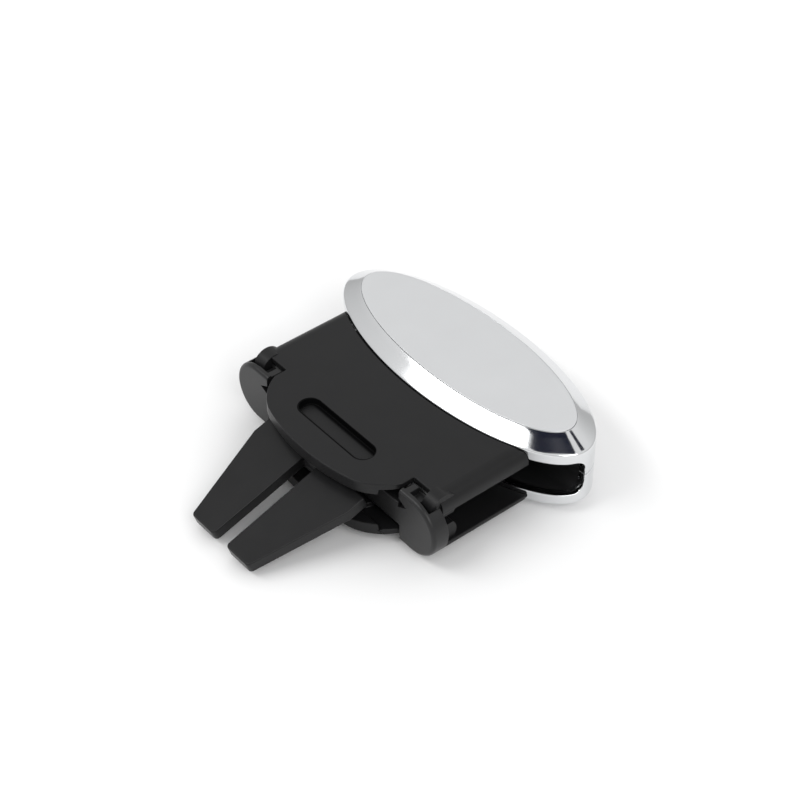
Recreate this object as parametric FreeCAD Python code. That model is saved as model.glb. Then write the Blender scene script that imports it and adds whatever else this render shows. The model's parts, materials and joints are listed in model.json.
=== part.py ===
"""Vent-fork car phone mount: a spring clip with two hinged jaws and a tilting louvre fork.

Design frame, millimetres: +X runs from the vent fork to the oval nose, +Y across the body,
+Z up.  The two jaws close on the plane z = 0 and mirror each other through it.  Before
export everything is moved so that the origin is the centre of the lower badge's face, the
flat oval that the mount rests on.
"""
import FreeCAD
import Part
import math
import os

from FreeCAD import Vector

os.makedirs("parts", exist_ok=True)

# ---- driving dimensions, mm -------------------------------------------------------------
# Oval nose
NOSE_X = 20.0            # centre of the oval along the body
NOSE_HALF_Y = 25.0       # half length of the oval, across the body
NOSE_HALF_X = 9.83       # half width of the oval, along the body
BADGE_HALF_Y = 21.8      # half length of the flat badge inside the bevel
BADGE_HALF_X = 7.28      # half width of the flat badge
BADGE_FACE = 6.44        # badge face above the closing plane
BEVEL_FOOT = 4.54        # where the bevel meets the upright wall
MOUTH_HALF = 2.9         # half height of the gap through the nose
MOUTH_END = 20.2         # where the gap stops behind the front lip
MOUTH_R = 1.9            # rounding of the gap's blind end
PARTING = 0.05           # each lip stops this far from the closing plane
CAP_WALL = 1.2           # plated cap thickness
BADGE_T = 0.6            # badge plate thickness
BADGE_PROUD = 0.05       # the badge stands this far out of its bevelled rim
GLUE_T = 0.15            # adhesive film thickness

# Jaw plates and thumb tabs
PLATE_HALF = 20.1        # half width of the jaw plates
PLATE_FACE = 4.7         # outer face of the plates above the closing plane
PLATE_T = 1.0            # plate thickness
UPPER_EDGE_R = 2.2       # the upper plate rolls over its sides
UPPER_SKIRT_END = 1.9    # height where that rolled side stops
LOWER_EDGE_R = 0.6       # the lower plate has a plain edge
NOSE_GAP = 0.4           # shadow gap between plate and nose cap
TONGUE_HALF = 15.0       # half width of the web that joins plate and nose core
WIDE_START = -1.2        # the full-width plate starts here
TAB_FRONT = -9.3         # tip of the thumb tab
TAB_HALF = 14.1          # half width of the thumb tab
TAB_LIP_T = 1.9          # tab thickness at its edge
TAB_LIP_END = -5.9       # the thick edge runs back to here
RECESS_X = -3.2          # thumb recess centre
RECESS_HALF_Y = 7.45     # half length of the recess
RECESS_R = 1.67          # half width of the recess
RECESS_DEPTH = 1.1

# Jaw hinges
HINGE_X = -0.6
HINGE_Z = 2.5
HINGE_PIN_R = 0.6
KNUCKLE_R = 2.3
KNUCKLE = (17.5, 19.6)   # from and to, each side of the middle
POST = (14.6, 17.2)
SPRING = (9.7, 13.7)
PIN_INNER_END = 9.3
COIL_R = 0.86            # torsion spring, to the middle of its wire
WIRE_R = 0.17
RUN = 0.05               # radial running clearance of a pin
JAW_OPENING = 8.0        # degrees that each jaw opens

# Base yoke
YOKE_FACE = -4.28        # the face turned to the vent
YOKE_T = 2.66
YOKE_HALF = 21.9
EAR_R = 4.74
EAR_Z = -0.27
BAR_HALF_Z = 2.05
EAR_SKIN = 0.8

# Vent fork
FORK_X = -6.6            # tilt pin
FORK_DROOP = 17.45       # degrees below the body at rest
FORK_RISE = 0.6          # blade middle above the tilt pin
FORK_T = 1.9
FORK_TAPER = 2.83        # the prongs narrow from here, measured from the pin
FORK_ROOT_HALF = 10.5
FORK_TIP_HALF = 6.35
FORK_REACH = 17.45       # pin to tip
BLADE_SLOT = 2.8         # takes one louvre blade
FORK_BARREL_R = 1.55
FORK_NECK_HALF = 3.0
CHEEK = (3.4, 5.2)
CHEEK_R = 1.05
CHEEK_ROOF = 1.15        # the prongs close over the cheeks above this height
WASHER_T = 0.3
CLEVIS_SCREW_Y = 4.3
CLEVIS_FOOT_T = 0.6

PLACE = Vector(-NOSE_X, 0, BADGE_FACE)

X_AXIS, Y_AXIS, Z_AXIS = Vector(1, 0, 0), Vector(0, 1, 0), Vector(0, 0, 1)


# ---- helpers ----------------------------------------------------------------------------
def box(x0, x1, y0, y1, z0, z1):
    """A block between two corners."""
    return Part.makeBox(x1 - x0, y1 - y0, z1 - z0, Vector(x0, y0, z0))


def rod(radius, y0, y1, x, z):
    """A round bar along Y."""
    return Part.makeCylinder(radius, y1 - y0, Vector(x, y0, z), Y_AXIS)


def post_z(radius, x, y, z0, z1):
    """A round bar along Z."""
    return Part.makeCylinder(radius, z1 - z0, Vector(x, y, z0), Z_AXIS)


def oval(half_x, half_y, z):
    """The nose outline as a wire, at height z."""
    ellipse = Part.Ellipse(Vector(NOSE_X, 0, z), half_y, half_x)
    edge = ellipse.toShape()
    edge.rotate(Vector(NOSE_X, 0, z), Z_AXIS, 90)
    return Part.Wire([edge])


def oval_disc(half_x, half_y, z0, z1):
    """A straight-sided oval slab."""
    return Part.Face(oval(half_x, half_y, z0)).extrude(Vector(0, 0, z1 - z0))


def oval_cone(bottom, z0, top, z1):
    """An oval slab whose wall leans from one outline to the other."""
    wires = [oval(bottom[0], bottom[1], z0), oval(top[0], top[1], z1)]
    return Part.makeLoft(wires, True, True)


def both_sides(solid):
    """The solid and its mirror image across the middle of the body."""
    return [solid, solid.mirror(Vector(0, 0, 0), Y_AXIS)]


def fused(solids):
    """One clean solid from several."""
    whole = solids[0].fuse(solids[1:]) if len(solids) > 1 else solids[0]
    return whole.removeSplitter()


def outline(points, z0, z1):
    """A prism from plan points given as (x, y)."""
    wire = Part.makePolygon([Vector(x, y, z0) for x, y in points + points[:1]])
    return Part.Face(wire).extrude(Vector(0, 0, z1 - z0))


def rounded_edges(solid, radius, chosen):
    """Fillet the edges that the test picks."""
    edges = [edge for edge in solid.Edges if chosen(edge)]
    return solid.makeFillet(radius, edges) if edges else solid


def is_along(edge, axis):
    """True when a straight edge runs along the axis."""
    if len(edge.Vertexes) != 2:
        return False
    span = edge.Vertexes[1].Point.sub(edge.Vertexes[0].Point)
    return span.Length > 1e-6 and abs(span.dot(axis)) > 0.999 * span.Length


def flip(solid):
    """Mirror through the closing plane, to turn an upper piece into a lower one."""
    return solid.mirror(Vector(0, 0, 0), Z_AXIS)


# ---- jaws (modelled as the upper one) ---------------------------------------------------
def tab_plan(z0, z1):
    """The thumb tab: a bowed front edge between two large rounded corners."""
    shoulder = Vector(-3.2, TAB_HALF, z0)
    corner_a, corner_b = Vector(-5.9, 12.3, z0), Vector(-7.9, 9.4, z0)
    tip, back = Vector(TAB_FRONT, 0, z0), Vector(0.2, TAB_HALF, z0)

    def across(point):
        return Vector(point.x, -point.y, point.z)

    edges = [
        Part.makeLine(back, shoulder),
        Part.Arc(shoulder, corner_a, corner_b).toShape(),
        Part.Arc(corner_b, tip, across(corner_b)).toShape(),
        Part.Arc(across(corner_b), across(corner_a), across(shoulder)).toShape(),
        Part.makeLine(across(shoulder), across(back)),
        Part.makeLine(across(back), back),
    ]
    return Part.Face(Part.Wire(edges)).extrude(Vector(0, 0, z1 - z0))


def stadium_z(half_length, radius, x, z0, z1):
    """A slot-shaped prism, long across the body."""
    straight = half_length - radius
    return fused([box(x - radius, x + radius, -straight, straight, z0, z1),
                  post_z(radius, x, straight, z0, z1),
                  post_z(radius, x, -straight, z0, z1)])


def plate_body(edge_r, skirt_end):
    """The plate with its rolled sides, hollow from inside."""
    x0, x1 = WIDE_START, NOSE_X
    outer = box(x0, x1, -PLATE_HALF, PLATE_HALF, -2, PLATE_FACE)

    def top_side(edge):
        at = edge.CenterOfMass
        return is_along(edge, X_AXIS) and at.z > PLATE_FACE - 1e-3

    outer = rounded_edges(outer, edge_r, top_side)
    outer = outer.cut(box(x0 - 1, x1 + 1, -30, 30, -5, skirt_end))
    inner_half = PLATE_HALF - PLATE_T
    inner_top = PLATE_FACE - PLATE_T
    if skirt_end > inner_top - 0.2:
        return outer
    inner = box(x0 - 1, x1 + 1, -inner_half, inner_half, -3, inner_top)

    def inner_side(edge):
        at = edge.CenterOfMass
        return is_along(edge, X_AXIS) and at.z > inner_top - 1e-3

    inner = rounded_edges(inner, max(edge_r - PLATE_T, 0.3), inner_side)
    return outer.cut(inner)


def nose_core():
    """The moulded block inside the plated cap, with the front lip below it."""
    fit = CAP_WALL + 0.05
    top = BADGE_FACE - 2.0
    block = oval_disc(NOSE_HALF_X - fit, NOSE_HALF_Y - fit, PARTING, top)
    lean = oval_cone((NOSE_HALF_X - fit, NOSE_HALF_Y - fit), top,
                     (BADGE_HALF_X - 1.6, BADGE_HALF_Y - 1.8), BADGE_FACE - 1.9 + 0.4)
    block = fused([block, lean])
    return block.cut(mouth_tool())


def mouth_tool():
    """The gap through the nose, with rounded corners at its blind end."""
    tool = box(-5, MOUTH_END, -40, 40, -MOUTH_HALF, MOUTH_HALF)

    def blind(edge):
        return is_along(edge, Y_AXIS) and edge.CenterOfMass.x > MOUTH_END - 1e-3

    return rounded_edges(tool, MOUTH_R, blind)


def lip_seat():
    """The pocket under the front lip for its rubber strip."""
    inset = CAP_WALL + 0.9
    slab = oval_disc(NOSE_HALF_X - inset, NOSE_HALF_Y - inset, -1, PARTING + 0.6)
    return slab.common(box(MOUTH_END + 1.0, 40, -40, 40, -2, 3))


def knuckles():
    """The round hinge bosses, proud of the plate."""
    boss = rod(KNUCKLE_R, KNUCKLE[0], KNUCKLE[1], HINGE_X, HINGE_Z)
    boss = boss.cut(box(-10, 10, 0, 30, -10, 0.9))
    return both_sides(boss)


def nose_screw_places():
    """Where the cap is screwed to the core."""
    return [(NOSE_X - 3.5, 12.0), (NOSE_X - 3.5, -12.0)]


def jaw_shell(edge_r, skirt_end):
    """Plate, thumb tab, hinge bosses and nose core as one moulding."""
    plate = plate_body(edge_r, skirt_end)
    snug = NOSE_GAP / 5
    past_nose = fused([
        oval_disc(NOSE_HALF_X + snug, NOSE_HALF_Y + snug, -9, 9),
        oval_disc(NOSE_HALF_X + NOSE_GAP, NOSE_HALF_Y + NOSE_GAP, PLATE_FACE - 0.6, 9)])
    tongue = box(8.0, NOSE_X, -TONGUE_HALF, TONGUE_HALF, MOUTH_HALF + 0.05, PLATE_FACE - 0.6)
    plate = plate.cut(past_nose)
    thin = tab_plan(PLATE_FACE - PLATE_T, PLATE_FACE)
    thick = tab_plan(PLATE_FACE - TAB_LIP_T, PLATE_FACE)
    lip = thick.cut(box(TAB_LIP_END, 5, -30, 30, -10, 10))
    pan = stadium_z(RECESS_HALF_Y + 0.8, RECESS_R + 0.8, RECESS_X,
                    PLATE_FACE - RECESS_DEPTH - 0.65, PLATE_FACE - 0.2)
    core = nose_core()
    shell = fused([plate, tongue, thin, lip, pan, core] + knuckles())
    recess = stadium_z(RECESS_HALF_Y, RECESS_R, RECESS_X, PLATE_FACE - RECESS_DEPTH, 9)
    shell = shell.cut([recess, lip_seat()] + both_sides(
        rod(HINGE_PIN_R + RUN, KNUCKLE[0] - 1, KNUCKLE[1] - 0.5, HINGE_X, HINGE_Z)))
    holes = []
    for x, y in nose_screw_places():
        holes.append(post_z(0.75, x, y, 0, 9))
        holes.append(post_z(1.35, x, y, 0, MOUTH_HALF + 0.75))
    shell = shell.cut(holes)
    return shell


def cap_outside():
    """Outer form of the plated cap: upright wall, bevel and front lip."""
    wall = oval_disc(NOSE_HALF_X, NOSE_HALF_Y, PARTING, BEVEL_FOOT)
    bevel = oval_cone((NOSE_HALF_X, NOSE_HALF_Y), BEVEL_FOOT,
                      (BADGE_HALF_X, BADGE_HALF_Y), BADGE_FACE - BADGE_PROUD)
    return fused([wall, bevel]).cut(mouth_tool())


def nose_cap():
    """The plated cap, hollow over the core, with a seat for the badge."""
    cap = cap_outside()
    top = BADGE_FACE - 2.0
    hollow = oval_disc(NOSE_HALF_X - CAP_WALL, NOSE_HALF_Y - CAP_WALL, -1, top + 0.05)
    lean = oval_cone((NOSE_HALF_X - CAP_WALL, NOSE_HALF_Y - CAP_WALL), top + 0.05,
                     (BADGE_HALF_X - 1.5, BADGE_HALF_Y - 1.7), BADGE_FACE - 1.4)
    seat = oval_disc(BADGE_HALF_X, BADGE_HALF_Y, BADGE_FACE - BADGE_T - GLUE_T, 9)
    cap = cap.cut([hollow, lean])
    cap = cap.cut([seat, box(5, NOSE_X, -TONGUE_HALF - 0.05, TONGUE_HALF + 0.05, 0,
                             PLATE_FACE - 0.55)])
    screws = [post_z(0.5, x, y, 0, BADGE_FACE - BADGE_T - GLUE_T) for x, y in
              nose_screw_places()]
    return cap.cut(screws)


def badge():
    """The satin oval plate, 0.05 mm smaller than its seat."""
    slack = 0.05
    return oval_disc(BADGE_HALF_X - slack, BADGE_HALF_Y - slack, BADGE_FACE - BADGE_T,
                     BADGE_FACE)


def badge_adhesive():
    """The film that holds the badge down."""
    slack = 0.6
    low = BADGE_FACE - BADGE_T - GLUE_T
    return oval_disc(BADGE_HALF_X - slack, BADGE_HALF_Y - slack, low, low + GLUE_T)


def grip_pad():
    """Rubber pad on the inner face of the plate."""
    top = PLATE_FACE - PLATE_T
    pad = box(2.0, 7.7, -15.5, 15.5, top - 0.6, top)
    return rounded_edges(pad, 1.5, lambda edge: is_along(edge, Z_AXIS))


def lip_pad():
    """Rubber strip where the two lips meet."""
    strip = lip_seat()
    return strip.cut(box(0, 60, -60, 60, -9, PARTING + 0.0))


def nose_screws():
    """Two small pan-head screws that hold the cap on its core."""
    solids = []
    for x, y in nose_screw_places():
        head = post_z(1.2, x, y, MOUTH_HALF + 0.1, MOUTH_HALF + 0.75)
        shank = post_z(0.5, x, y, MOUTH_HALF + 0.75, BADGE_FACE - BADGE_T - GLUE_T - 0.15)
        screw = fused([head, shank])
        drive = [box(x - 0.75, x + 0.75, y - 0.13, y + 0.13, 0, MOUTH_HALF + 0.4),
                 box(x - 0.13, x + 0.13, y - 0.75, y + 0.75, 0, MOUTH_HALF + 0.4)]
        solids.append(screw.cut(drive))
    return Part.makeCompound(solids)


# ---- base -------------------------------------------------------------------------------
def ear_slab():
    """The long plate with round ends that carries everything."""
    middle = YOKE_HALF - EAR_R
    x1 = YOKE_FACE + YOKE_T
    bar = box(YOKE_FACE, x1, -middle, middle, EAR_Z - EAR_R, EAR_Z + EAR_R)
    ends = [Part.makeCylinder(EAR_R, YOKE_T, Vector(YOKE_FACE, side * middle, EAR_Z), X_AXIS)
            for side in (-1, 1)]
    return fused([bar] + ends)


def hook_notches():
    """A small slanted notch in each ear's face, beside the thumb tab."""
    low, high, depth = 1.2, 3.0, 0.7
    corners = [(POST[0] - 0.2, low), (POST[0] + 1.5, (low + high) / 2), (POST[0] - 0.2, high)]
    notches = []
    for side in (-1, 1):
        wire = Part.makePolygon([Vector(YOKE_FACE - 0.1, side * y, z)
                                 for y, z in corners + corners[:1]])
        notches.append(Part.Face(wire).extrude(Vector(depth + 0.1, 0, 0)))
    return notches


def base_yoke():
    """Ears, cross bar and hinge posts."""
    slab = ear_slab()
    tab_room = [box(-20, 20, -14.6, 14.6, BAR_HALF_Z, 20),
                box(-20, 20, -14.6, 14.6, -20, -BAR_HALF_Z)]
    slab = slab.cut(tab_room)
    posts = []
    for side in (-1, 1):
        y0, y1 = sorted((side * POST[0], side * POST[1]))
        web = box(YOKE_FACE + EAR_SKIN - 0.2, HINGE_X, y0, y1, -HINGE_Z - 0.6, HINGE_Z + 0.6)
        posts.append(web)
        posts.append(box(HINGE_X - 0.2, HINGE_X + 0.95, y0, y1, -HINGE_Z, HINGE_Z))
        for level in (-1, 1):
            posts.append(rod(0.95, y0, y1, HINGE_X, level * HINGE_Z))
    pockets, ribs = [], []
    for side in (-1, 1):
        for level in (-1, 1):
            y0, y1 = sorted((side * POST[1], side * 19.9))
            z0, z1 = sorted((level * 0.35, level * 9))
            pockets.append(box(YOKE_FACE + EAR_SKIN, 0, y0, y1, z0, z1))
            y0, y1 = sorted((side * POST[0], side * POST[1]))
            z0, z1 = sorted((level * (HINGE_Z + 0.6), level * 9))
            pockets.append(box(YOKE_FACE + EAR_SKIN, 0, y0, y1, z0, z1))
            y0, y1 = sorted((side * POST[0], side * (POST[0] + 1.1)))
            z0, z1 = sorted((0, level * 4.2))
            ribs.append(box(YOKE_FACE, WIDE_START - 0.3, y0, y1, z0, z1))
    yoke = fused([slab.cut(pockets)] + posts + ribs)
    yoke = yoke.cut(hook_notches())
    bores = []
    for side in (-1, 1):
        y0, y1 = sorted((side * (POST[0] - 1), side * (POST[1] + 1)))
        for level in (-1, 1):
            bores.append(rod(HINGE_PIN_R, y0, y1, HINGE_X, level * HINGE_Z))
    for y in (-CLEVIS_SCREW_Y, CLEVIS_SCREW_Y):
        bores.append(Part.makeCylinder(0.6, 6, Vector(YOKE_FACE - 1, y, 0), X_AXIS))
        bores.append(Part.makeCylinder(1.25, 2, Vector(YOKE_FACE + YOKE_T - 0.8, y, 0), X_AXIS))
    yoke = yoke.cut(bores)

    def ear_rim(edge):
        at = edge.CenterOfMass
        curved = edge.Curve.TypeId == "Part::GeomCircle" and edge.Curve.Radius > 4
        return curved and abs(at.x - YOKE_FACE) < 1e-3 and abs(at.y) > 17

    return rounded_edges(yoke, 0.6, ear_rim)


def fork_clevis():
    """Foot plate and two cheeks for the fork's tilt pin."""
    foot = box(YOKE_FACE - CLEVIS_FOOT_T, YOKE_FACE, -CHEEK[1], CHEEK[1], -1.9, 1.9)
    solids = [foot]
    for side in (-1, 1):
        y0, y1 = sorted((side * CHEEK[0], side * CHEEK[1]))
        solids.append(box(FORK_X, YOKE_FACE - 0.1, y0, y1, -CHEEK_R, CHEEK_R))
        solids.append(rod(CHEEK_R, y0, y1, FORK_X, 0))
    clevis = fused(solids)
    cuts = [rod(HINGE_PIN_R, -12, 12, FORK_X, 0)]
    for y in (-CLEVIS_SCREW_Y, CLEVIS_SCREW_Y):
        cuts.append(Part.makeCylinder(0.45, 3, Vector(YOKE_FACE - 0.85, y, 0), X_AXIS))
    return clevis.cut(cuts)


def clevis_screws():
    """Two screws that hold the clevis on the yoke."""
    solids = []
    for y in (-CLEVIS_SCREW_Y, CLEVIS_SCREW_Y):
        seat = YOKE_FACE + YOKE_T - 0.8
        head = Part.makeCylinder(1.1, 0.6, Vector(seat, y, 0), X_AXIS)
        shank = Part.makeCylinder(0.44, seat - YOKE_FACE + 0.8,
                                  Vector(YOKE_FACE - 0.8, y, 0), X_AXIS)
        drive = [box(seat + 0.3, seat + 1, y - 0.7, y + 0.7, -0.12, 0.12),
                 box(seat + 0.3, seat + 1, y - 0.12, y + 0.12, -0.7, 0.7)]
        solids.append(fused([head, shank]).cut(drive))
    return Part.makeCompound(solids)


def jaw_pins():
    """The two short steel pins of one jaw."""
    pin = rod(HINGE_PIN_R, PIN_INNER_END, KNUCKLE[1] - 0.6, HINGE_X, HINGE_Z)
    return Part.makeCompound(both_sides(pin))


def fork_pin():
    """The steel pin that the fork tilts on."""
    return rod(HINGE_PIN_R, -CHEEK[1], CHEEK[1], FORK_X, 0)


def jaw_spring(side):
    """A torsion spring round one jaw pin: one leg bears on the bar, one under the tab."""
    turns = 6.5
    length = SPRING[1] - SPRING[0]
    pitch = length / turns
    lead = pitch / (2 * math.pi * COIL_R)
    tab_leg, bar_leg = 1.15, 0.8
    start, end = Vector(COIL_R, 0, 0), Vector(-COIL_R, 0, length)
    start_run, end_run = Vector(0, 1, lead), Vector(0, -1, lead)
    start_run.normalize()
    end_run.normalize()
    first = start - start_run * tab_leg
    path = Part.Wire([Part.makeLine(first, start)]
                     + Part.makeHelix(pitch, length, COIL_R).Edges
                     + [Part.makeLine(end, end + end_run * bar_leg)])
    section = Part.Wire([Part.makeCircle(WIRE_R, first, start_run)])
    spring = path.makePipeShell([section], True, True)
    spring.rotate(Vector(0, 0, 0), Z_AXIS, -90)
    spring.rotate(Vector(0, 0, 0), X_AXIS, -90)
    spring.translate(Vector(HINGE_X, SPRING[0], HINGE_Z))
    return spring if side > 0 else spring.mirror(Vector(0, 0, 0), Y_AXIS)


# ---- fork -------------------------------------------------------------------------------
def placed_fork(solid):
    """Tilt a fork piece from level down to its rest angle."""
    solid.rotate(Vector(FORK_X, 0, 0), Y_AXIS, -FORK_DROOP)
    return solid


def vent_fork():
    """Two tapered prongs on a barrel; the slot between them takes a louvre blade."""
    low, high = FORK_RISE - FORK_T / 2, FORK_RISE + FORK_T / 2
    tip = FORK_X - FORK_REACH
    shoulder = FORK_X + 0.2
    taper = FORK_X - FORK_TAPER
    plan = [(shoulder, FORK_ROOT_HALF), (taper, FORK_ROOT_HALF), (tip, FORK_TIP_HALF),
            (tip, -FORK_TIP_HALF), (taper, -FORK_ROOT_HALF), (shoulder, -FORK_ROOT_HALF)]
    blade = outline(plan, low, high)
    slot = box(tip - 1, FORK_X - 0.2, -BLADE_SLOT / 2, BLADE_SLOT / 2, -5, 5)
    rooms = both_sides(box(FORK_X - CHEEK_R - 0.15, 5, FORK_NECK_HALF, CHEEK[1] + 0.3,
                           -5, CHEEK_ROOF))
    middle = box(FORK_X + 0.1, 5, -FORK_NECK_HALF, FORK_NECK_HALF, -5, 5)
    blade = blade.cut([slot, middle] + rooms)

    def tip_corner(edge):
        return is_along(edge, Z_AXIS) and edge.CenterOfMass.x < tip + 0.01

    blade = rounded_edges(blade, 0.7, tip_corner)
    barrel = rod(FORK_BARREL_R, -FORK_NECK_HALF, FORK_NECK_HALF, FORK_X, 0)
    fork = fused([blade, barrel])
    bore = rod(HINGE_PIN_R + RUN, -FORK_NECK_HALF - 1, FORK_NECK_HALF + 1, FORK_X, 0)
    return placed_fork(fork.cut(bore))


def fork_washers():
    """Friction washers each side of the barrel."""
    y0 = FORK_NECK_HALF + 0.05
    ring = rod(CHEEK_R - 0.05, y0, y0 + WASHER_T, FORK_X, 0)
    ring = ring.cut(rod(HINGE_PIN_R + RUN, 0, 12, FORK_X, 0))
    return Part.makeCompound(both_sides(ring))


# ---- export -----------------------------------------------------------------------------
def save(name, shape):
    """Move a piece to the export frame and write it."""
    moved = shape.copy()
    moved.translate(PLACE)
    moved.exportStep("parts/" + name + ".step")
    print(name, "solids", len(moved.Solids), "valid", moved.isValid(),
          "volume", round(moved.Volume, 2))


save("base_yoke", base_yoke())
save("fork_clevis", fork_clevis())
save("clevis_screws", clevis_screws())
save("fork_pin", fork_pin())
save("vent_fork", vent_fork())
save("fork_washers", fork_washers())

for jaw, turn, edge_r, skirt in (("upper", False, UPPER_EDGE_R, UPPER_SKIRT_END),
                                 ("lower", True, LOWER_EDGE_R, PLATE_FACE - PLATE_T)):
    pieces = {
        "jaw_shell": jaw_shell(edge_r, skirt),
        "nose_cap": nose_cap(),
        "badge": badge(),
        "badge_adhesive": badge_adhesive(),
        "grip_pad": grip_pad(),
        "lip_pad": lip_pad(),
        "nose_screws": nose_screws(),
        "jaw_pins": jaw_pins(),
        "spring_left": jaw_spring(1),
        "spring_right": jaw_spring(-1),
    }
    for piece, shape in pieces.items():
        save(jaw + "_" + piece, flip(shape) if turn else shape)
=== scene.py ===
"""Looks of the vent-fork car phone mount: black moulded clip, bright oval nose, satin plate."""
import json
import math

import bmesh
import bpy
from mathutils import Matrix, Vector


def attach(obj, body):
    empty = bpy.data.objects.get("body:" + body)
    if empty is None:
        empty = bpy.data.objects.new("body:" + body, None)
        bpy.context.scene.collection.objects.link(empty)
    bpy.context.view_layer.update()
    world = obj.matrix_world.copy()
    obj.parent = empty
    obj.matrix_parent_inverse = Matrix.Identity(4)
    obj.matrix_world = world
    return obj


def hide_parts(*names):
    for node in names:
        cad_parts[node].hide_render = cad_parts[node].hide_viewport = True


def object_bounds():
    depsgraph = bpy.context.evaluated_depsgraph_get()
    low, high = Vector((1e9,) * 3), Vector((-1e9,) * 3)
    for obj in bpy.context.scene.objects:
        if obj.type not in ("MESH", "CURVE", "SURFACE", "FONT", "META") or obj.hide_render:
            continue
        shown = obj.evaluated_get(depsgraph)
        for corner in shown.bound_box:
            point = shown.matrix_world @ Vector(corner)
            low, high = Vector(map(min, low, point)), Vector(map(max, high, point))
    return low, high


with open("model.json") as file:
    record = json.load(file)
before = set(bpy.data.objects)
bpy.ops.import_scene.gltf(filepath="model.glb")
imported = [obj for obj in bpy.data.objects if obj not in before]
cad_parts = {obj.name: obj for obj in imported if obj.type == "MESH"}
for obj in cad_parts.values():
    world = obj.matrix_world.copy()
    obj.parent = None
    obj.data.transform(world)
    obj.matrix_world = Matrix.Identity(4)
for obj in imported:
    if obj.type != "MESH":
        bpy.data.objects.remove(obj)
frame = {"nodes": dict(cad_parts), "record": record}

CAD_BOX = [list(corner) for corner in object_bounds()]

MM = 0.001
CLOSE_Z = 6.44               # closing plane of the jaws above the floor, in mm
nodes = frame["nodes"]

# ---- view and light ---------------------------------------------------------------------
CAMERA_TURN = -39.5          # degrees round +Z from looking along +Y
CAMERA_RISE = 41.9           # degrees above the floor
CAMERA_DISTANCE = 302.8 * MM
CAMERA_LENS = 97.85          # millimetres on a 36 mm sensor
AIM = Vector((-12.41, -0.46, 10.43)) * MM
ROOM_LOW, ROOM_HIGH = 0.5, 0.88      # brightness of the room at the horizon and overhead
FLOOR_HALF = 1.5             # metres
FLOOR_DROP = 0.02 * MM       # the floor lies this far below the object
CARD_HEIGHT = 0.95           # metres
CARD_TONE = (0.010, 0.012, 0.026, 1)


def looking(turn, rise):
    """Unit vector that a camera with that turn and rise looks along."""
    a, e = math.radians(turn), math.radians(rise)
    return Vector((-math.sin(a) * math.cos(e), math.cos(a) * math.cos(e), -math.sin(e)))


def make_camera():
    data = bpy.data.cameras.new("camera")
    data.lens = CAMERA_LENS
    data.clip_start = 0.01
    data.clip_end = 20
    camera = bpy.data.objects.new("camera", data)
    bpy.context.scene.collection.objects.link(camera)
    view = looking(CAMERA_TURN, CAMERA_RISE)
    camera.location = AIM - view * CAMERA_DISTANCE
    camera.rotation_euler = view.to_track_quat("-Z", "Y").to_euler()
    bpy.context.scene.camera = camera


def make_softbox(name, place, target, size, power):
    """A rectangular area light facing the target, or straight down with no target."""
    data = bpy.data.lights.new(name, "AREA")
    data.shape = "RECTANGLE"
    data.size, data.size_y = size
    data.energy = power
    light = bpy.data.objects.new(name, data)
    bpy.context.scene.collection.objects.link(light)
    light.location = place
    if target is not None:
        toward = Vector(target) - Vector(place)
        light.rotation_euler = toward.to_track_quat("-Z", "Y").to_euler()


def make_floor():
    """A wide white sheet under the object."""
    mesh = bpy.data.meshes.new("studio_floor")
    half = FLOOR_HALF
    floor_z = CAD_BOX[0][2] - FLOOR_DROP
    mesh.from_pydata([(-half, -half, floor_z), (half, -half, floor_z), (half, half, floor_z),
                      (-half, half, floor_z)], [], [(0, 1, 2, 3)])
    floor = bpy.data.objects.new("studio_floor", mesh)
    bpy.context.scene.collection.objects.link(floor)
    material, shader = new_material("studio_white")
    shader.inputs["Base Color"].default_value = (0.95, 0.95, 0.95, 1)
    shader.inputs["Roughness"].default_value = 0.9
    shader.inputs["Specular IOR Level"].default_value = 0.1
    mesh.materials.append(material)


def make_world():
    """A white room, dimmer towards the horizon."""
    world = bpy.data.worlds.new("studio")
    world.use_nodes = True
    tree = world.node_tree
    background = tree.nodes["Background"]
    background.inputs["Color"].default_value = (1, 1, 1, 1)
    place = tree.nodes.new("ShaderNodeTexCoord")
    parts = tree.nodes.new("ShaderNodeSeparateXYZ")
    rise = tree.nodes.new("ShaderNodeMapRange")
    rise.inputs["From Min"].default_value = -0.05
    rise.inputs["From Max"].default_value = 0.65
    rise.inputs["To Min"].default_value = ROOM_LOW
    rise.inputs["To Max"].default_value = ROOM_HIGH
    tree.links.new(place.outputs["Generated"], parts.inputs["Vector"])
    tree.links.new(parts.outputs["Z"], rise.inputs["Value"])
    tree.links.new(rise.outputs["Result"], background.inputs["Strength"])
    bpy.context.scene.world = world
    bpy.context.scene.view_settings.view_transform = "Standard"


def make_card(name, x, y, size, heading):
    """A dark level studio card high over the object, for the bright nose to reflect."""
    half_x, half_y = size[0] / 2, size[1] / 2
    mesh = bpy.data.meshes.new(name)
    mesh.from_pydata([(-half_x, -half_y, 0), (half_x, -half_y, 0), (half_x, half_y, 0),
                      (-half_x, half_y, 0)], [], [(0, 1, 2, 3)])
    card = bpy.data.objects.new(name, mesh)
    bpy.context.scene.collection.objects.link(card)
    card.location = (x, y, CARD_HEIGHT)
    card.rotation_euler = (0, 0, math.radians(heading))
    material, shader = new_material(name + "_cloth")
    shader.inputs["Base Color"].default_value = CARD_TONE
    shader.inputs["Roughness"].default_value = 0.95
    shader.inputs["Specular IOR Level"].default_value = 0.0
    mesh.materials.append(material)


# ---- materials --------------------------------------------------------------------------
CLOUD_SCALE, DRIFT_SCALE = 260, 150  # noise per metre: plastic's cloud, metal's drift
SPARK_DEPTH = 0.01 * MM      # depth of the moulded grain
METAL_DEPTH = 0.02 * MM      # depth of the metal's grain
PLASTIC_SPREAD = 0.06        # plastic's roughness either way
METAL_TONE_SPREAD, METAL_ROUGH_SPREAD = 0.03, 0.15   # shares of tone and roughness either way


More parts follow.
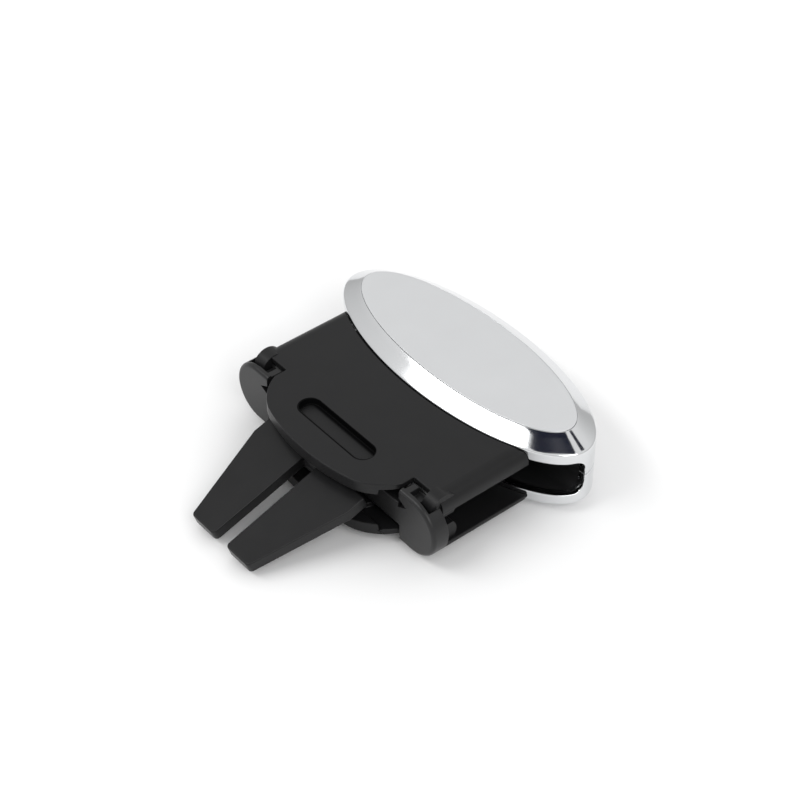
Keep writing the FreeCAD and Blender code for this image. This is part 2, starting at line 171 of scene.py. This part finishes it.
def new_material(name):
    material = bpy.data.materials.new(name)
    material.use_nodes = True
    return material, material.node_tree.nodes["Principled BSDF"]


# The painted shade round the thumb recess, set by position, in mm. Each pair runs from no shade
# to full shade.
RECESS_X = -23.32            # centre of the shade, a little to the fork's side
RECESS_RUN = 5.78            # half length of the recess's straight run
RECESS_R = 1.67              # radius of its ends
SHADE_OUTER = (RECESS_R + 0.24, RECESS_R + 0.14)
SHADE_INNER = (RECESS_R - 0.3, RECESS_R - 0.12)
SHADE_FAR_SIDE = (1.0, 1.35)
SHADE_HEIGHT = (3.2, 3.5)    # from the closing plane
SHADE_GLOSS = 0.12           # what is left of the gloss in full shade
SHADE_TONE = 0.4             # and of the tone


def painted_recess_shade(tree, place):
    """Mask of the painted shade: 1 round the rim and on the far side of the thumb recess, 0
    elsewhere.
    """
    def calc(operation, *values):
        node = tree.nodes.new("ShaderNodeMath")
        node.operation = operation
        for socket, value in zip(node.inputs, values):
            if isinstance(value, float):
                socket.default_value = value
            else:
                tree.links.new(value, socket)
        return node.outputs["Value"]

    def ramp(value, span):
        node = tree.nodes.new("ShaderNodeMapRange")
        node.inputs["From Min"].default_value = span[0] * MM
        node.inputs["From Max"].default_value = span[1] * MM
        tree.links.new(value, node.inputs["Value"])
        return node.outputs["Result"]

    parts = tree.nodes.new("ShaderNodeSeparateXYZ")
    tree.links.new(place.outputs["Object"], parts.inputs["Vector"])
    x = calc("SUBTRACT", parts.outputs["X"], RECESS_X * MM)
    y = calc("SUBTRACT", calc("ABSOLUTE", parts.outputs["Y"]), RECESS_RUN * MM)
    y = calc("MAXIMUM", y, 0.0)
    height = calc("ABSOLUTE", calc("SUBTRACT", parts.outputs["Z"], CLOSE_Z * MM))
    away = calc("SQRT", calc("ADD", calc("MULTIPLY", x, x), calc("MULTIPLY", y, y)))
    inside = calc("MULTIPLY", ramp(away, SHADE_OUTER), ramp(height, SHADE_HEIGHT))
    dark = calc("MAXIMUM", ramp(away, SHADE_INNER), ramp(x, SHADE_FAR_SIDE))
    return calc("MULTIPLY", inside, dark)


def plastic(name, dark, light, roughness, grain=0.25, grain_scale=9000, gloss=0.5,
            recess=False):
    """Moulded plastic or rubber: cloudy tone, uneven gloss, a fine spark-eroded grain, and with
    recess, painted shade round the thumb recess.
    """
    material, shader = new_material(name)
    tree = material.node_tree
    new, link = tree.nodes.new, tree.links.new
    shader.inputs["Specular IOR Level"].default_value = gloss
    place = new("ShaderNodeTexCoord")
    cloud = new("ShaderNodeTexNoise")
    cloud.inputs["Scale"].default_value = CLOUD_SCALE
    cloud.inputs["Detail"].default_value = 5
    link(place.outputs["Object"], cloud.inputs["Vector"])
    tone = new("ShaderNodeMix")
    tone.data_type = "RGBA"
    tone.inputs["A"].default_value = (*dark, 1)
    tone.inputs["B"].default_value = (*light, 1)
    link(cloud.outputs["Fac"], tone.inputs["Factor"])
    span = new("ShaderNodeMapRange")
    span.inputs["To Min"].default_value = roughness - PLASTIC_SPREAD
    span.inputs["To Max"].default_value = roughness + PLASTIC_SPREAD
    link(cloud.outputs["Fac"], span.inputs["Value"])
    link(span.outputs["Result"], shader.inputs["Roughness"])
    spark = new("ShaderNodeTexNoise")
    spark.inputs["Scale"].default_value = grain_scale
    spark.inputs["Detail"].default_value = 2
    link(place.outputs["Object"], spark.inputs["Vector"])
    bump = new("ShaderNodeBump")
    bump.inputs["Strength"].default_value = grain
    bump.inputs["Distance"].default_value = SPARK_DEPTH
    link(spark.outputs["Fac"], bump.inputs["Height"])
    link(bump.outputs["Normal"], shader.inputs["Normal"])
    colour = tone.outputs["Result"]
    # Painted shade: darker tone and less gloss round the rim and on the far side of the thumb
    # recess.
    if recess:
        shade = painted_recess_shade(tree, place)
        painted_shade_gloss = new("ShaderNodeMapRange")
        painted_shade_gloss.inputs["To Min"].default_value = gloss
        painted_shade_gloss.inputs["To Max"].default_value = gloss * SHADE_GLOSS
        link(shade, painted_shade_gloss.inputs["Value"])
        link(painted_shade_gloss.outputs["Result"], shader.inputs["Specular IOR Level"])
        deep = new("ShaderNodeMix")
        deep.data_type = "RGBA"
        deep.inputs["B"].default_value = (*(c * SHADE_TONE for c in dark), 1)
        link(shade, deep.inputs["Factor"])
        link(colour, deep.inputs["A"])
        colour = deep.outputs["Result"]
    link(colour, shader.inputs["Base Color"])
    return material


def metal(name, shade, roughness, grain, grain_scale, stretch=(1, 1, 1)):
    """Metal with a slight drift in tone and roughness, and a fine grain."""
    material, shader = new_material(name)
    tree = material.node_tree
    new, link = tree.nodes.new, tree.links.new
    shader.inputs["Metallic"].default_value = 1
    place = new("ShaderNodeTexCoord")
    drift = new("ShaderNodeTexNoise")
    drift.inputs["Scale"].default_value = DRIFT_SCALE
    link(place.outputs["Object"], drift.inputs["Vector"])
    tone = new("ShaderNodeMix")
    tone.data_type = "RGBA"
    tone.inputs["A"].default_value = (*(c * (1 - METAL_TONE_SPREAD) for c in shade), 1)
    tone.inputs["B"].default_value = (*(c * (1 + METAL_TONE_SPREAD) for c in shade), 1)
    link(drift.outputs["Fac"], tone.inputs["Factor"])
    link(tone.outputs["Result"], shader.inputs["Base Color"])
    span = new("ShaderNodeMapRange")
    span.inputs["To Min"].default_value = roughness * (1 - METAL_ROUGH_SPREAD)
    span.inputs["To Max"].default_value = roughness * (1 + METAL_ROUGH_SPREAD)
    link(drift.outputs["Fac"], span.inputs["Value"])
    link(span.outputs["Result"], shader.inputs["Roughness"])
    mapping = new("ShaderNodeMapping")
    mapping.inputs["Scale"].default_value = stretch
    link(place.outputs["Object"], mapping.inputs["Vector"])
    fine = new("ShaderNodeTexNoise")
    fine.inputs["Scale"].default_value = grain_scale
    fine.inputs["Detail"].default_value = 3
    link(mapping.outputs["Vector"], fine.inputs["Vector"])
    bump = new("ShaderNodeBump")
    bump.inputs["Strength"].default_value = grain
    bump.inputs["Distance"].default_value = METAL_DEPTH
    link(fine.outputs["Fac"], bump.inputs["Height"])
    link(bump.outputs["Normal"], shader.inputs["Normal"])
    return material


MATERIALS = {
    # The jaws' plastic carries the painted shade of the thumb recess.
    "jaw_plastic": plastic("jaw_black", (0.0075, 0.0075, 0.008), (0.0115, 0.0115, 0.012), 0.40,
                           gloss=0.24, recess=True),
    "base_plastic": plastic("base_black", (0.009, 0.009, 0.0095), (0.014, 0.014, 0.0145), 0.36,
                            grain=0.3, grain_scale=7000, gloss=0.34),
    "fork_plastic": plastic("fork_black", (0.008, 0.008, 0.0085), (0.0125, 0.0125, 0.013), 0.34,
                            grain=0.2, grain_scale=6000, gloss=0.24),
    "rubber": plastic("pad_rubber", (0.016, 0.016, 0.016), (0.026, 0.026, 0.026), 0.78,
                      grain=0.5, grain_scale=4000, gloss=0.3),
    "washer_nylon": plastic("washer_nylon", (0.48, 0.48, 0.45), (0.6, 0.6, 0.57), 0.45),
    "adhesive": plastic("adhesive_film", (0.38, 0.38, 0.35), (0.5, 0.5, 0.47), 0.6),
    "bright_chrome": metal("nose_chrome", (0.72, 0.73, 0.74), 0.09, 0.012, 900),
    "satin_silver": metal("plate_satin", (0.77, 0.78, 0.79), 0.36, 0.2, 7000),
    "steel": metal("screw_steel", (0.55, 0.55, 0.56), 0.3, 0.2, 5000, (1, 1, 4)),
    "spring_steel": metal("spring_wire", (0.42, 0.42, 0.43), 0.28, 0.2, 6000, (1, 4, 1)),
}


# ---- pieces -----------------------------------------------------------------------------
def slot_of(node):
    """The record's material slot of a CAD node."""
    return next(s["material_slot"] for s in frame["record"]["subparts"] if s["node"] == node)


def body_of(node):
    """The CAD body that a node belongs to."""
    groups = frame["record"]["behaviour"]["bodies"]
    return next(body for body, members in groups.items() if node in members)


def dress(obj, material):
    obj.data.materials.clear()
    obj.data.materials.append(material)


# Where rounding would tear or swell a surface, in mm.
CORE_X = -10.5               # the nose core starts here
BOSS_Y, BOSS_X = 17.0, -16.5         # the hinge bosses lie beyond
BARREL_Y, BARREL_X = 5.7, -28.9      # the fork's pockets lie within
NOTCH_X, NOTCH_Z = -23.3, 7.3        # the ears' notch corners lie beyond
NOTCH_Y = (14.3, 17.2)


def not_by_knuckle(at):
    """Jaw shells: leave out the hinge bosses and the hidden nose core."""
    return at.x < CORE_X and not (abs(at.y) > BOSS_Y and at.x < BOSS_X)


def not_by_barrel(at):
    """Fork: leave out the hidden pockets round the barrel."""
    return not (abs(at.y) < BARREL_Y and at.x > BARREL_X)


def not_by_notch(at):
    """Base: leave out the small corner between each ear's notch and the cross bar."""
    return not (at.x < NOTCH_X and NOTCH_Y[0] < abs(at.y) < NOTCH_Y[1] and at.z > NOTCH_Z)


def even_normals(piece, keep_sharp):
    """Smooth shading that follows the larger faces."""
    weigh = piece.modifiers.new("even_normals", "WEIGHTED_NORMAL")
    weigh.mode = "FACE_AREA_WITH_ANGLE"
    weigh.weight = 60
    weigh.keep_sharp = keep_sharp


def settle(piece):
    """Apply the piece's modifiers to its mesh."""
    graph = bpy.context.evaluated_depsgraph_get()
    final = bpy.data.meshes.new_from_object(piece.evaluated_get(graph))
    piece.modifiers.clear()
    old = piece.data
    piece.data = final
    bpy.data.meshes.remove(old)
    final.name = piece.name


def stand_in(piece, node):
    """Dress the piece and put it in the node's place."""
    dress(piece, MATERIALS[slot_of(node)])
    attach(piece, body_of(node))
    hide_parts(node)


SHARP_ANGLE = 32             # degrees; flatter edges aren't rounded
MERGE_DISTANCE = 0.002 * MM
FLAT_ANGLE = 0.4             # degrees; faces closer to flat are joined


def softened(node, width, chosen):
    """A finer copy of a CAD node with its sharp edges rounded by width, in mm.

    Edges that chosen leaves out stay crisp. With None, all sharp edges are rounded.
    """
    source = nodes[node]
    mesh = bpy.data.meshes.new(node + "_skin")
    work = bmesh.new()
    work.from_mesh(source.data)
    bmesh.ops.remove_doubles(work, verts=work.verts, dist=MERGE_DISTANCE)
    bmesh.ops.dissolve_limit(work, angle_limit=math.radians(FLAT_ANGLE), verts=work.verts,
                             edges=work.edges)
    weight = work.edges.layers.float.new("bevel_weight_edge")
    for edge in work.edges:
        if len(edge.link_faces) != 2 or edge.calc_face_angle() < math.radians(SHARP_ANGLE):
            continue
        middle = (edge.verts[0].co + edge.verts[1].co) / 2 / MM
        if chosen is None or chosen(middle):
            edge[weight] = 1.0
        else:
            edge.smooth = False
    work.to_mesh(mesh)
    work.free()
    piece = bpy.data.objects.new(node + "_skin", mesh)
    bpy.context.scene.collection.objects.link(piece)
    bevel = piece.modifiers.new("rounding", "BEVEL")
    bevel.width = width * MM
    bevel.segments = 3
    bevel.limit_method = "WEIGHT"
    bevel.use_clamp_overlap = False
    bevel.miter_outer = "MITER_ARC"
    for face in mesh.polygons:
        face.use_smooth = True
    even_normals(piece, True)
    settle(piece)
    stand_in(piece, node)


# The oval nose, in mm round its own centre; z is measured from the closing plane.
NOSE = (9.83, 25.0)          # half width and half length of the upright wall
SEAT = (7.28, 21.8)          # the same at the top of the bevel
FOOT_Z, TOP_Z, SEAT_Z = 4.54, 6.39, 5.69
WALL = 1.2
MOUTH_END, MOUTH_TOP, MOUTH_R, LIP_Z = 0.2, 2.9, 1.9, 0.05
WEB_HALF, WEB_TOP = 15.05, 4.15
RIM_R = 0.13
TOP_ROUND, FOOT_ROUND = 0.07, 0.17   # how far the bevel's two roundings reach down the walls
ROOF_LOW, ROOF_HIGH = 4.49, 5.04     # the hollow's roof, at its edge and further in
ROOF_INSET = (1.5, 1.7)
RIM_STEP = 0.2


def on_oval(size, phi, z, depth=0.0):
    """A point on an oval wall, moved inwards by depth."""
    x, y = size[0] * math.cos(phi), size[1] * math.sin(phi)
    nx, ny = math.cos(phi) / size[0], math.sin(phi) / size[1]
    n = math.hypot(nx, ny)
    return Vector((x - depth * nx / n, y - depth * ny / n, z))


def arc_length(phi0, phi1, steps=24):
    """Length of the nose wall between two angles."""
    points = [on_oval(NOSE, phi0 + (phi1 - phi0) * i / steps, 0) for i in range(steps + 1)]
    return sum((b - a).length for a, b in zip(points, points[1:]))


def angle_at(x):
    return math.acos(max(-1.0, min(1.0, x / NOSE[0])))


def rim_path():
    """The cap's lower rim over one half, from the front round to the back: (angle, z)."""
    web = math.pi - math.asin(WEB_HALF / NOSE[1])
    corner_x = MOUTH_END - MOUTH_R
    low = MOUTH_TOP - MOUTH_R
    path = [(0.0, LIP_Z), (angle_at(MOUTH_END), LIP_Z), (angle_at(MOUTH_END), low)]
    for i in range(1, 13):
        a = math.pi / 2 * i / 12
        path.append((angle_at(corner_x + MOUTH_R * math.cos(a)), low + MOUTH_R * math.sin(a)))
    path += [(web, MOUTH_TOP), (web, WEB_TOP), (math.pi, WEB_TOP)]
    return path


def even_points(path, step):
    """The path again at equal steps of true length."""
    out = []
    for (p0, z0), (p1, z1) in zip(path, path[1:]):
        length = math.hypot(arc_length(p0, p1), z1 - z0)
        count = max(1, round(length / step))
        out += [(p0 + (p1 - p0) * i / count, z0 + (z1 - z0) * i / count) for i in range(count)]
    return out + [path[-1]]


def smoothed(values, reach):
    """Running mean that keeps both ends."""
    last = len(values) - 1
    out = []
    for i in range(last + 1):
        room = min(reach, i, last - i)
        part = values[i - room:i + room + 1]
        out.append(sum(part) / len(part))
    return out


def curve_through(a, b, c, count):
    """Points of a quadratic curve from a to c, drawn towards b."""
    out = []
    for i in range(count + 1):
        t = i / count
        out.append(tuple((1 - t) ** 2 * p + 2 * t * (1 - t) * q + t * t * r
                         for p, q, r in zip(a, b, c)))
    return out


def along(a, b, t):
    return tuple(p + (q - p) * t for p, q in zip(a, b))


def bevel_profile():
    """Seat wall, rounded top edge, bevel and rounded foot as (half width, half length, z)."""
    top, foot = (*SEAT, TOP_Z), (*NOSE, FOOT_Z)
    rows = [(*SEAT, SEAT_Z)]
    rows += curve_through((*SEAT, TOP_Z - TOP_ROUND), top, along(top, foot, 0.03), 4)
    rows += [along(top, foot, t) for t in (0.3, 0.6, 0.85)]
    rows += curve_through(along(top, foot, 0.93), foot, (*NOSE, FOOT_Z - FOOT_ROUND), 5)
    return rows


def rim_columns():
    """For each column of one half: angle at the bevel, and the rim's angle, z and normal."""
    rim = even_points(rim_path(), RIM_STEP)
    upper = [phi for phi, z in rim]
    for reach in (14, 8):        # twice, so that the columns fan out without a kink
        upper = smoothed(upper, reach)
    columns = []
    for i, (phi, z) in enumerate(rim):
        p0, z0 = rim[max(i - 1, 0)]
        p1, z1 = rim[min(i + 1, len(rim) - 1)]
        run, up = arc_length(p0, p1), z1 - z0
        size = math.hypot(run, up) or 1.0
        per_radian = arc_length(phi - 0.01, phi + 0.01) / 0.02
        columns.append((upper[i], phi, z, up / size / per_radian, -run / size))
    return columns


def cap_column(column, mirror):
    """One column of points from the badge seat, over the outside, to the inner roof."""
    top_phi, phi, z, away_phi, away_z = column
    points = [on_oval((hx, hy), top_phi, h) for hx, hy, h in bevel_profile()]
    foot_z = FOOT_Z - FOOT_ROUND
    edge_phi, edge_z = phi - away_phi * RIM_R, z - away_z * RIM_R
    for i in range(1, 8):
        t = i / 7
        points.append(on_oval(NOSE, top_phi + (edge_phi - top_phi) * t,
                              foot_z + (edge_z - foot_z) * t))
    for i in range(1, 5):
        a = math.pi / 2 * i / 4
        out, deep = RIM_R * (1 - math.sin(a)), RIM_R * (1 - math.cos(a))
        points.append(on_oval(NOSE, phi - away_phi * out, z - away_z * out, deep))
    points.append(on_oval(NOSE, phi, z, WALL))
    inner = (NOSE[0] - WALL, NOSE[1] - WALL)
    points.append(on_oval(inner, top_phi, ROOF_LOW))
    roof = (SEAT[0] - ROOF_INSET[0], SEAT[1] - ROOF_INSET[1])
    points.append(on_oval(roof, top_phi, ROOF_HIGH))
    return [Vector((p.x, -p.y if mirror else p.y, p.z)) for p in points]


def closed_rings(name, node, columns, flip):
    """A closed skin from columns of points that run round the nose."""
    work = bmesh.new()
    grid = [[work.verts.new(Vector((p.x, p.y, CLOSE_Z + (-p.z if flip else p.z))) * MM)
             for p in column] for column in columns]
    for left, right in zip(grid, grid[1:] + grid[:1]):
        for i in range(len(left) - 1):
            work.faces.new((left[i], right[i], right[i + 1], left[i + 1]))
    work.faces.new([column[0] for column in grid])
    work.faces.new([column[-1] for column in grid])
    bmesh.ops.recalc_face_normals(work, faces=work.faces)
    mesh = bpy.data.meshes.new(name)
    work.to_mesh(mesh)
    work.free()
    for face in mesh.polygons:
        face.use_smooth = True
    piece = bpy.data.objects.new(name, mesh)
    bpy.context.scene.collection.objects.link(piece)
    even_normals(piece, False)
    settle(piece)
    stand_in(piece, node)


def nose_cap(node, flip):
    half = rim_columns()
    columns = [cap_column(c, False) for c in half]
    columns += [cap_column(c, True) for c in half[-2:0:-1]]
    closed_rings(node + "_skin", node, columns, flip)


def badge(node, flip):
    """The flat oval plate with a softly broken edge."""
    slack, low, high, r = 0.05, 5.84, 6.44, 0.07
    size = (SEAT[0] - slack, SEAT[1] - slack)
    inner = (size[0] - r, size[1] - r)
    rows = [(*inner, low), (*size, low + r), (*size, (low + high) / 2)]
    rows += curve_through((*size, high - r), (*size, high), (*inner, high), 5)
    rows += [(inner[0] - 0.4, inner[1] - 0.4, high)]
    columns = []
    for i in range(360):
        phi = 2 * math.pi * i / 360
        columns.append([on_oval((hx, hy), phi, z) for hx, hy, z in rows])
    closed_rings(node + "_skin", node, columns, flip)


for node, obj in nodes.items():
    dress(obj, MATERIALS[slot_of(node)])

for jaw, under in (("upper", False), ("lower", True)):
    nose_cap(jaw + "_nose_cap", under)
    badge(jaw + "_badge", under)

ROUNDED = {
    "upper_jaw_shell": (0.16, not_by_knuckle),
    "lower_jaw_shell": (0.16, not_by_knuckle),
    "base_yoke": (0.15, not_by_notch),
    "fork_clevis": (0.10, None),
    "vent_fork": (0.22, not_by_barrel),
}
for node, (width, chosen) in ROUNDED.items():
    softened(node, width, chosen)

make_camera()
make_world()
make_floor()
make_softbox("key_light", (-0.70, 0.44, 0.95), None, (0.34, 0.84), 5.4)
make_softbox("fill_light", (-0.2, -0.75, 0.7), (0, 0, 0), (0.6, 0.6), 3.0)
make_card("overhead_card", -0.175, -0.21, (0.83, 0.26), -25.3)
make_card("side_card", 0.53, -0.41, (0.20, 0.16), 0)
